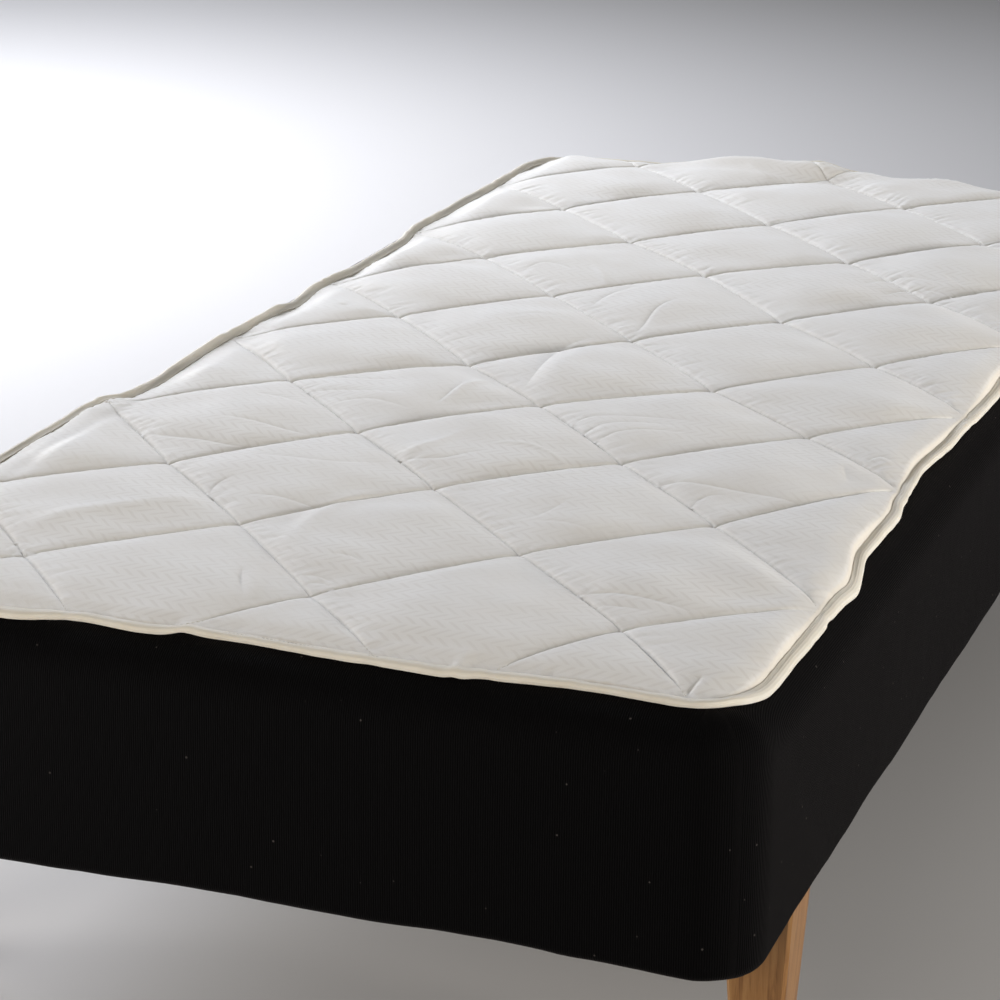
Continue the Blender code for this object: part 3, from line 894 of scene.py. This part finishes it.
def make_bed_cover(finish):
    """The knitted cover over the box: rounded, its hem wavy, its ribs turning at the corners."""
    centre_x, centre_y, angle = rounded_stations(
        BED_WIDTH / 2 - BED_CORNER_RADIUS, BED_LENGTH / 2 - BED_CORNER_RADIUS,
        COVER_CORNER_STEPS, COVER_STEP)
    out_x, out_y = np.cos(angle), np.sin(angle)
    edge = np.column_stack((centre_x + BED_CORNER_RADIUS * out_x,
                            centre_y + BED_CORNER_RADIUS * out_y))
    along = line_runs(np.vstack((edge, edge[:1])))[:-1]
    side_face = np.abs(out_x) > np.abs(out_y)
    lean = np.arctan2(np.abs(out_x), np.abs(out_y))
    past_seam = (BED_LENGTH / 2 - BED_CORNER_RADIUS - np.abs(centre_y)
                 + BED_CORNER_RADIUS * (lean - math.pi / 4))
    from_seam = np.where(side_face, past_seam, 0.0)
    foot_rib = np.sign(centre_x + 1e-9) * (np.abs(centre_x) + BED_CORNER_RADIUS * lean)
    from_corner = np.hypot(*(edge - np.sign(edge) * (BED_WIDTH / 2, BED_LENGTH / 2)).T)
    hem = wander(along, HEM_WAVES) - HEM_SAG * np.exp(-(from_corner / HEM_SAG_REACH) ** 2)
    billow = wander(along, BILLOWS)

    corners = []
    ribs = []
    for inset, height, down in cover_profile():
        up = (height - LEG_HEIGHT) / (BED_DEPTH - BED_TOP_RADIUS)
        reach = BED_CORNER_RADIUS - inset + billow * np.sin(np.pi * np.clip(up, 0, 1))
        corners.append(np.column_stack((centre_x + reach * out_x, centre_y + reach * out_y,
                                        height + (1 - smooth(up)) ** 3 * hem)))
        bend = -RIB_BEND * np.log(np.exp(-from_seam / RIB_BEND) + np.exp(-down / RIB_BEND))
        ribs.append(np.where(side_face, BED_WIDTH / 2 + bend, foot_rib))
    corners = np.concatenate(corners)
    count = len(along)
    starts = range(0, len(corners), count)
    faces = ring_faces(count, starts)
    faces += [tuple(range(start, start + count)) for start in (starts[0], starts[-1])]
    cover = new_piece("bed_cover", corners, faces, finish)
    add_values(cover, "rib", "FLOAT", "value", np.concatenate(ribs))
    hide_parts("bed_base")


# ---------------------------------------------------------------- the sewing

STITCH_PITCH = 5 * MM
STITCH_LENGTH = 3.6 * MM
STITCH_THICKNESS = 0.8 * MM
STITCH_LIFT = 0.1 * MM
STITCH_END_GAP = 3 * MM
STITCH_AHEAD = 0.01
EDGE_STITCH_PITCH = 4 * MM
EDGE_STITCH_SINK = 1.5 * MM
EDGE_STITCH_AHEAD = 1 * MM


def one_stitch():
    """Corners and faces of one thread stitch, lying along X."""
    bpy.ops.mesh.primitive_uv_sphere_add(segments=5, ring_count=4, radius=0.5)
    bpy.ops.object.mode_set(mode="EDIT")
    bpy.ops.transform.resize(value=(STITCH_THICKNESS, STITCH_THICKNESS, STITCH_LENGTH),
                             center_override=(0, 0, 0))
    bpy.ops.object.mode_set(mode="OBJECT")
    stitch = bpy.context.object
    corners = np.array([(v.co.z, v.co.y, -v.co.x) for v in stitch.data.vertices])
    faces = [tuple(face.vertices) for face in stitch.data.polygons]
    bpy.data.objects.remove(stitch)
    return corners, faces


def sew(name, places, ways, finish):
    """Lay a copy of the stitch at each place, pointing each way, as one mesh."""
    corners, faces = one_stitch()
    ways = unit(ways)
    sides = unit(np.cross((0, 0, 1), ways))
    laid = places[:, None, :]
    for number, axis in enumerate((ways, sides, np.cross(ways, sides))):
        laid = laid + corners[None, :, number, None] * axis[:, None, :]
    all_faces = [tuple(corner + number * len(corners) for corner in face)
                 for number in range(len(places)) for face in faces]
    new_piece(name, laid.reshape(-1, 3), all_faces, finish)


def channel_places(grid, pulls, outline):
    """Points of the cloth along the bottom of a channel, and how deep inside they lie."""
    rising, falling = grid[:, 0], grid[:, 1]
    places = quilt_place(rising, falling, pulls)
    x, y = places.T
    depth = depth_inside(places, outline)
    floor = channel_floor(x, y, depth, *from_channels(rising, falling))
    return np.column_stack((places, floor + cloth_base(x, y) + edge_lift(x, y))), depth


def make_quilting_stitches(outline, pulls, finish):
    """The thread along every channel."""
    per_side = round(CELL_SIDE / STITCH_PITCH)
    along = (np.arange(-CHANNELS * per_side, CHANNELS * per_side) + 0.5) / per_side
    channels = np.arange(1.0 - CHANNELS, CHANNELS)
    fixed, moving = (side.ravel() for side in np.meshgrid(channels, along, indexing="ij"))
    places = []
    ways = []
    for rising, falling, step in ((fixed, moving, (0, STITCH_AHEAD)),
                                  (moving, fixed, (STITCH_AHEAD, 0))):
        grid = near_cloth(np.column_stack((rising, falling, quilt_place(rising, falling, pulls))))
        here, depth = channel_places(grid[:, :2], pulls, outline)
        ahead, _ = channel_places(grid[:, :2] + step, pulls, outline)
        inside = depth > TAPE_WIDTH + STITCH_END_GAP
        places.append(here[inside] + (0, 0, STITCH_LIFT))
        ways.append((ahead - here)[inside])
    sew("quilting_stitches", np.concatenate(places), np.concatenate(ways), finish)


def make_edge_stitches(outline, normals, finish):
    """The thread that sews the tape down, in its pressed line."""
    line = edge_ring(outline, normals, TAPE_STITCH_INSET * tape_spread(normals),
                     TAPE_HEIGHT - EDGE_STITCH_SINK)
    closed = np.vstack((line, line[:1]))
    runs = line_runs(closed)
    count = round(runs[-1] / EDGE_STITCH_PITCH)
    at = (np.arange(count) + 0.5) / count * runs[-1]
    places = points_at(at, runs, closed)
    ahead = points_at(at + EDGE_STITCH_AHEAD, runs, closed)
    sew("edge_stitches", places, ahead - places, finish)


# ---------------------------------------------------------------- materials

def linear(code):
    """An sRGB hex colour as linear values."""
    values = [int(code[i:i + 2], 16) / 255 for i in (1, 3, 5)]
    return (*(v / 12.92 if v <= 0.04045 else ((v + 0.055) / 1.055) ** 2.4 for v in values), 1)


def fill_node(tree, node, values):
    """Give a node its properties, ramp stops and sockets, by name or number.

    A value that is another node's output is linked, and a node stands for its first output.
    """
    for name, value in values.items():
        if isinstance(value, bpy.types.Node):
            value = value.outputs[0]
        if name == "stops":
            elements = node.color_ramp.elements
            while len(elements) < len(value):
                elements.new(0.5)
            for element, (place, colour) in zip(elements, value):
                element.position, element.color = place, linear(colour)
        elif isinstance(value, bpy.types.NodeSocket):
            tree.links.new(value, node.inputs[name])
        elif isinstance(name, int) or name in node.inputs:
            node.inputs[name].default_value = value
        else:
            setattr(node, name, value)


def add_node(tree, kind, values):
    """Add a node with its settings and links."""
    node = tree.nodes.new("ShaderNode" + kind)
    fill_node(tree, node, values)
    return node


def new_material(name, settings):
    """A material with one Principled shader.

    Returns it, a function that adds nodes to it, and one that fills the shader's sockets.
    """
    finish = bpy.data.materials.new(name)
    finish.use_nodes = True
    tree = finish.node_tree
    shader = tree.nodes["Principled BSDF"]
    fill_node(tree, shader, settings)
    return finish, partial(add_node, tree), partial(fill_node, tree, shader)


def object_place(add):
    """The place on the object that a pattern follows."""
    return add("TexCoord", {}).outputs["Object"]


BAR_ROW = 14.5 * MM
BAR_SPACING = 13.5 * MM
BAR_SLANT = 1.1
GATHER_PITCH = 5.5 * MM
GATHER_LENGTH = 50 * MM

# The fine gathers at each family of channels: number of the count along it, number of the
# count across it, how far the gathers reach and how high they are.
GATHERS = ((0, 1, 32 * MM, 0.5 * MM), (1, 0, 14 * MM, 0.35 * MM))


def pressed_bars(add, place):
    """The broken herringbone: rows of slanted bars, pressed in more in some patches, for the
    bars' bump and their painted shade.
    """
    parts = add("SeparateXYZ", {0: place}).outputs
    rows = add("Math", {"operation": "DIVIDE", 0: parts["Y"], 1: BAR_ROW})
    in_row = add("Math", {"operation": "FRACT", 0: rows})
    row = add("Math", {"operation": "FLOOR", 0: rows})
    odd = add("Math", {"operation": "PINGPONG", 0: row, 1: 1.0})
    side = add("Math", {"operation": "MULTIPLY_ADD", 0: odd, 1: 2 * BAR_SLANT, 2: -BAR_SLANT})
    centred = add("Math", {"operation": "SUBTRACT", 0: in_row, 1: 0.5})
    lean = add("Math", {"operation": "MULTIPLY", 0: side, 1: centred})
    across = add("Math", {"operation": "MULTIPLY_ADD", 0: parts["X"], 1: 1 / BAR_SPACING,
                          2: lean})
    shifted = add("Math", {"operation": "MULTIPLY_ADD", 0: row, 1: 0.5, 2: across})
    bar = add("Math", {"operation": "PINGPONG", 0: shifted, 1: 0.5})
    groove = add("MapRange", {"interpolation_type": "SMOOTHSTEP", "Value": bar,
                              "From Min": 0.08, "From Max": 0.24, "To Min": 1.0, "To Max": 0.0})
    edge = add("Math", {"operation": "PINGPONG", 0: in_row, 1: 0.5})
    inner = add("MapRange", {"interpolation_type": "SMOOTHSTEP", "Value": edge,
                             "From Min": 0.02, "From Max": 0.12})
    bars = add("Math", {"operation": "MULTIPLY", 0: groove, 1: inner})
    patches = add("TexNoise", {"Vector": place, "Scale": 7.0, "Detail": 1.0})
    uneven_pressing = add("MapRange", {"Value": patches, "From Min": 0.35, "From Max": 0.62,
                            "To Min": 0.3})
    return add("Math", {"operation": "MULTIPLY", 0: bars, 1: uneven_pressing})


def sewn_gathers(add, quilt, counts, normal):
    """Fine gathers square to the channels, fading away from them."""
    for along, across, reach, height in GATHERS:
        scale = [0.0, 0.0, 0.0]
        scale[along] = CELL_SIDE / GATHER_PITCH
        scale[across] = CELL_SIDE / GATHER_LENGTH
        stretched = add("Mapping", {"Vector": quilt, "Scale": scale})
        gathers = add("TexNoise", {"Vector": stretched, "Scale": 1.0, "Detail": 1.5,
                                   "Roughness": 0.5, "Distortion": 0.25})
        beyond = add("Math", {"operation": "FRACT", 0: counts[across]})
        fading = add("MapRange", {"interpolation_type": "SMOOTHSTEP", "Value": beyond,
                                  "From Min": 0.0, "From Max": reach / CELL_SIDE, "To Min": 1.0,
                                  "To Max": 0.0})
        pulled = add("Math", {"operation": "MULTIPLY", 0: gathers, 1: fading})
        normal = add("Bump", {"Height": pulled, "Normal": normal, "Strength": 1.0,
                              "Distance": height})
    return normal


def bleached_cotton():
    """Bleached cotton jacquard: a faint broken herringbone, soft, lit inside its filling."""
    finish, add, fill_shader = new_material("bleached_cotton_jacquard", {
        "Subsurface Weight": 0.2, "Subsurface Radius": (1.0, 0.98, 0.95),
        "Subsurface Scale": 5 * MM, "Roughness": 0.88, "Sheen Weight": 0.10,
        "Sheen Roughness": 0.5, "Specular IOR Level": 0.3})
    place = object_place(add)
    pressed = pressed_bars(add, place)
    woven = add("Bump", {"invert": True, "Height": pressed, "Strength": 1.0,
                         "Distance": 0.045 * MM})
    quilt = add("Attribute", {"attribute_name": "quilt"})
    counts = add("SeparateXYZ", {0: quilt}).outputs
    gathered = sewn_gathers(add, quilt, counts, woven)
    nap = add("TexNoise", {"Vector": place, "Scale": 260.0, "Detail": 3.0, "Roughness": 0.62})
    soft = add("Bump", {"Height": nap, "Normal": gathered, "Strength": 0.6,
                        "Distance": 0.22 * MM})
    thread = add("TexNoise", {"Vector": place, "Scale": 1100.0, "Detail": 2.0,
                              "Roughness": 0.6})
    fine = add("Bump", {"Height": thread, "Normal": soft, "Strength": 0.6,
                        "Distance": 0.10 * MM})
    clouds = add("TexNoise", {"Vector": place, "Scale": 14.0, "Detail": 3.0, "Roughness": 0.55})
    base = add("ValToRGB", {"Fac": clouds, "stops": ((0.35, "#EFECE6"), (0.65, "#F3F1EC"))})
    # Painted shade: the pressed bars' grooves are drawn slightly darker in the cloth's colour, on
    # top of their bump.
    painted_groove_shade = add("ValToRGB", {"Fac": pressed, "stops": ((0.0, "#FFFFFF"), (1.0, "#F8F7F6"))})
    mix = add("Mix", {"data_type": "RGBA", "blend_type": "MULTIPLY", 0: 1.0, 6: base, 7: painted_groove_shade})
    # Painted light and shade: the cloth just beside the tape is tinted creamier and a little
    # darker, standing in for the tape's warm bounced light and the groove's shade.
    beside_tape = add("MapRange", {"interpolation_type": "SMOOTHSTEP", "Value": counts["Z"],
                                   "From Min": TAPE_WIDTH + 2 * MM,
                                   "From Max": TAPE_WIDTH + 5 * MM, "To Min": 1.0,
                                   "To Max": 0.0})
    painted_tape_bounce = add("Mix", {"data_type": "RGBA", 0: beside_tape, 6: mix.outputs[2],
                          7: linear("#EFE8DC")})
    fill_shader({"Base Color": painted_tape_bounce.outputs[2], "Normal": fine})
    return finish


def cream_tape():
    """Unbleached cotton tape: creamier than the cover, matt, and lit through by daylight."""
    finish, add, fill_shader = new_material("unbleached_cotton_tape", {
        "Subsurface Weight": 0.4, "Subsurface Radius": (1.0, 0.92, 0.8),
        "Subsurface Scale": 2.5 * MM, "Roughness": 0.85, "Sheen Weight": 0.08,
        "Sheen Roughness": 0.5, "Specular IOR Level": 0.3})
    place = object_place(add)
    patches = add("TexNoise", {"Vector": place, "Scale": 26.0, "Detail": 3.0, "Roughness": 0.5})
    colour = add("ValToRGB", {"Fac": patches, "stops": ((0.3, "#E3DCCC"), (0.7, "#ECE6D9"))})
    threads = add("TexNoise", {"Vector": place, "Scale": 900.0, "Detail": 2.0,
                               "Roughness": 0.6})
    bump = add("Bump", {"Height": threads, "Strength": 0.5, "Distance": 0.15 * MM})
    fill_shader({"Base Color": colour, "Normal": bump})
    return finish


def cotton_thread():
    """Spun cotton thread: off-white, a little glossier than the cloth."""
    finish, add, fill_shader = new_material("spun_cotton_thread", {
        "Roughness": 0.7, "Sheen Weight": 0.1, "Specular IOR Level": 0.35})
    twist = add("TexNoise", {"Vector": object_place(add), "Scale": 1500.0, "Detail": 1.0})
    colour = add("ValToRGB", {"Fac": twist, "stops": ((0.3, "#D9D4C8"), (0.7, "#E9E6DE"))})
    fill_shader({"Base Color": colour})
    return finish


RIB_PITCH = 2.1 * MM


def black_knit():
    """Black rib-knitted polyester: matt, with fine ribs and a few specks of lint."""
    finish, add, fill_shader = new_material("black_rib_knit", {
        "Roughness": 0.8, "Sheen Weight": 0.17, "Sheen Roughness": 0.3,
        "Sheen Tint": linear("#B4AAAA"), "Specular IOR Level": 0.04})
    place = object_place(add)
    across = add("Attribute", {"attribute_name": "rib"})
    count = add("Math", {"operation": "DIVIDE", 0: across.outputs["Fac"], 1: RIB_PITCH})
    wave = add("Math", {"operation": "PINGPONG", 0: count, 1: 0.5})
    ridge = add("MapRange", {"interpolation_type": "SMOOTHSTEP", "Value": wave,
                             "From Min": 0.05, "From Max": 0.45})
    ribs = add("Bump", {"Height": ridge, "Strength": 0.8, "Distance": 0.5 * MM})
    stretch = add("TexNoise", {"Vector": place, "Scale": 9.0, "Detail": 3.0})
    uneven = add("Bump", {"Height": stretch, "Normal": ribs, "Strength": 0.5,
                          "Distance": 3 * MM})
    # Painted shade: the valleys between the ribs are coloured darker and the ridges lighter,
    # following the ribs' bump.
    knit = add("ValToRGB", {"Fac": ridge, "stops": ((0.0, "#030303"), (1.0, "#0A090A"))})
    dust = add("TexVoronoi", {"Vector": place, "Scale": 45.0, "Randomness": 1.0})
    speck = add("MapRange", {"Value": dust, "From Min": 0.055, "From Max": 0.03})
    mix = add("Mix", {"data_type": "RGBA", 0: speck, 6: knit, 7: linear("#4A4644")})
    fill_shader({"Base Color": mix.outputs[2], "Normal": uneven})
    return finish


def lacquered_birch():
    """Birch under clear lacquer: long even grain, satin."""
    finish, add, fill_shader = new_material("lacquered_birch", {
        "Roughness": 0.38, "Coat Weight": 0.2, "Coat Roughness": 0.25})
    drawn = add("Mapping", {"Vector": object_place(add), "Scale": (210.0, 210.0, 6.0)})
    grain = add("TexNoise", {"Vector": drawn, "Scale": 1.0, "Detail": 5.0, "Roughness": 0.6,
                             "Distortion": 0.5})
    colour = add("ValToRGB", {"Fac": grain,
                              "stops": ((0.32, "#764E26"), (0.5, "#94693A"), (0.72, "#A67C4B"))})
    bump = add("Bump", {"Height": grain, "Strength": 0.2, "Distance": 0.2 * MM})
    fill_shader({"Base Color": colour, "Normal": bump})
    return finish


def pale_floor():
    """A plain pale floor, matt."""
    finish, _, _ = new_material("pale_matt_floor", {
        "Roughness": 0.8, "Base Color": linear("#C6C4C2"), "Specular IOR Level": 0.2})
    return finish


# ---------------------------------------------------------------- stage, light and camera

FOCAL_LENGTH = 115.24
SENSOR_WIDTH = 36
CAMERA_PLACE = (1.0795205, -3.3392344, 1.3858262)
CAMERA_RIGHT = (0.9392013, 0.34324849, 0.00902216)
CAMERA_UP = (-0.11384572, 0.2865019, 0.95129166)
CAMERA_BACK = (0.32394456, -0.89448149, 0.30816032)

# Soft lights: place, target, width and height in metres, watts, spread in degrees, colour.
LIGHTS = (
    ("window", (-5.0, 5.0, 3.0), (0.0, 0.2, 0.40), 4.0, 3.0, 106, 90, "#EDF2FF"),
    ("ceiling", (-0.8, 1.2, 3.4), (-0.3, 0.4, 0.0), 4.0, 4.0, 10, 180, "#FFFDFA"),
    ("side", (3.6, -0.4, 0.72), (0.4, -0.2, 0.35), 2.4, 0.9, 29, 90, "#FFFAF4"),
    ("doorway", (-2.7, 1.6, 1.7), (-2.7, 1.6, 0.0), 2.2, 3.2, 110, 180, "#F4F7FF"),
    ("room", (-1.0, -4.6, 1.3), (0.0, -1.0, 0.4), 3.0, 2.0, 86, 180, "#FFF6EC"),
    ("low", (-1.9, -0.9, 0.28), (-0.3, -0.9, 0.0), 1.2, 0.25, 16, 120, "#FFFFFF"),
)
ROOM_GLOW = 0.17


def make_camera():
    """The photograph's view, fitted to the quilting's crossings."""
    camera = bpy.data.objects.new("camera", bpy.data.cameras.new("camera"))
    camera.data.lens = FOCAL_LENGTH
    camera.data.sensor_width = SENSOR_WIDTH
    camera.data.clip_end = 100
    turn = Matrix((CAMERA_RIGHT, CAMERA_UP, CAMERA_BACK)).transposed()
    camera.matrix_world = Matrix.Translation(CAMERA_PLACE) @ turn.to_4x4()
    bpy.context.scene.collection.objects.link(camera)
    bpy.context.scene.camera = camera


def make_floor(finish):
    """A wide floor below the legs."""
    bpy.ops.mesh.primitive_plane_add(size=40, location=(0, 0, 0))
    floor = bpy.context.object
    floor.name = "floor"
    floor.data.materials.append(finish)


def make_lights():
    """A window's soft light from the back left, and the room's weaker lights and glow."""
    for name, place, target, width, height, power, spread, colour in LIGHTS:
        light = bpy.data.lights.new(name, "AREA")
        light.shape = "RECTANGLE"
        light.size, light.size_y = width, height
        light.energy = power
        light.spread = math.radians(spread)
        light.color = linear(colour)[:3]
        holder = bpy.data.objects.new(name, light)
        turn = (Vector(target) - Vector(place)).to_track_quat("-Z", "Y").to_matrix()
        holder.matrix_world = Matrix.Translation(place) @ turn.to_4x4()
        bpy.context.scene.collection.objects.link(holder)
    world = bpy.data.worlds.new("room")
    world.use_nodes = True
    background = world.node_tree.nodes["Background"]
    background.inputs["Color"].default_value = linear("#F2F2F2")
    background.inputs["Strength"].default_value = ROOM_GLOW
    bpy.context.scene.world = world
    bpy.context.scene.view_settings.view_transform = "Standard"


# ---------------------------------------------------------------- the scene

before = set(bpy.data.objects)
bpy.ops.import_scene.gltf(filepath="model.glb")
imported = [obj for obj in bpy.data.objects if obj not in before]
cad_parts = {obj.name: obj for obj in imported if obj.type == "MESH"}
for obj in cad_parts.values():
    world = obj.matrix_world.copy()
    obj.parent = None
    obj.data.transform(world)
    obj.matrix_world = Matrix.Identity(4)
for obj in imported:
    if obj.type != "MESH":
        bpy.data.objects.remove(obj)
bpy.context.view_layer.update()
bpy.ops.object.select_all(action="DESELECT")

make_camera()
make_lights()
make_floor(pale_floor())

outline = topper_outline()
normals = outline_normals(outline)
pulls = crossing_pulls()
thread = cotton_thread()
make_topper_cover(outline, normals, pulls, bleached_cotton())
make_edge_tape(outline, normals, pulls, cream_tape())
make_quilting_stitches(outline, pulls, thread)
make_edge_stitches(outline, normals, thread)
make_bed_cover(black_knit())
birch = lacquered_birch()
for name in ("leg_foot_left", "leg_foot_right", "leg_head_left", "leg_head_right"):
    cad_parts[name].data.materials.clear()
    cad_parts[name].data.materials.append(birch)
